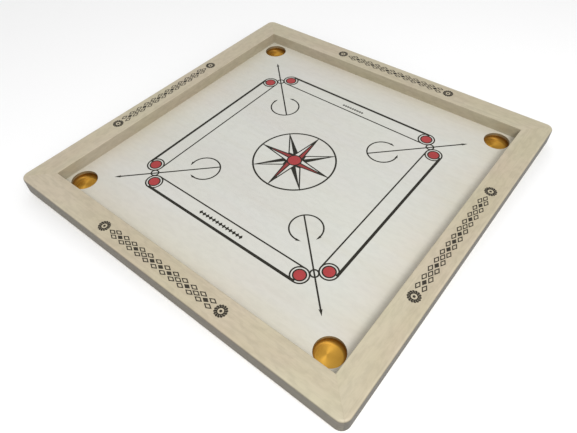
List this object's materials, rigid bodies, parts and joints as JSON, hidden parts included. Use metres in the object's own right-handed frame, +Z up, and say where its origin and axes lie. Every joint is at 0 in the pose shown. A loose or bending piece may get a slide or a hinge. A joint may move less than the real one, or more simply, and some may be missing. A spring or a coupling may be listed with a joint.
{
  "type": "carrom board",
  "caption": "Square wooden carrom board: a printed playing panel in a mitred frame of raised rails, with a round pocket and a metal cup in each corner.",
  "frame": {"origin": "centre of the board at the height of the table, under the middle of the playing panel", "axes": "+X towards the right rail, +Y towards the back rail, +Z up, square to the table"},
  "size_m": [0.66, 0.66, 0.038],
  "materials": {
    "rail_wood": "pale hardwood under thin satin lacquer",
    "panel_plywood": "pale plywood, sanded and lacquered smooth",
    "tongue_plywood": "bare plywood",
    "support_wood": "bare sawn softwood",
    "gold_metal": "satin gold-coloured sheet metal",
    "zinc_steel": "bright zinc plating",
    "black_ink": "screen-printed ink under lacquer",
    "red_ink": "screen-printed ink under lacquer"
  },
  "bodies": {
    "root": {"front_rail": "rail_wood", "right_rail": "rail_wood", "back_rail": "rail_wood", "left_rail": "rail_wood", "front_right_tongue": "tongue_plywood", "back_right_tongue": "tongue_plywood", "back_left_tongue": "tongue_plywood", "front_left_tongue": "tongue_plywood", "playing_panel": "panel_plywood", "side_to_side_batten": "support_wood", "front_to_back_batten": "support_wood", "front_strip_left": "support_wood", "front_strip_right": "support_wood", "right_strip_front": "support_wood", "right_strip_back": "support_wood", "back_strip_right": "support_wood", "back_strip_left": "support_wood", "left_strip_back": "support_wood", "left_strip_front": "support_wood", "front_right_cup": "gold_metal", "back_right_cup": "gold_metal", "back_left_cup": "gold_metal", "front_left_cup": "gold_metal", "batten_end_screws": "zinc_steel", "panel_screws": "zinc_steel", "strip_pins": "zinc_steel", "cup_screws": "zinc_steel"}
  },
  "joints": []
}
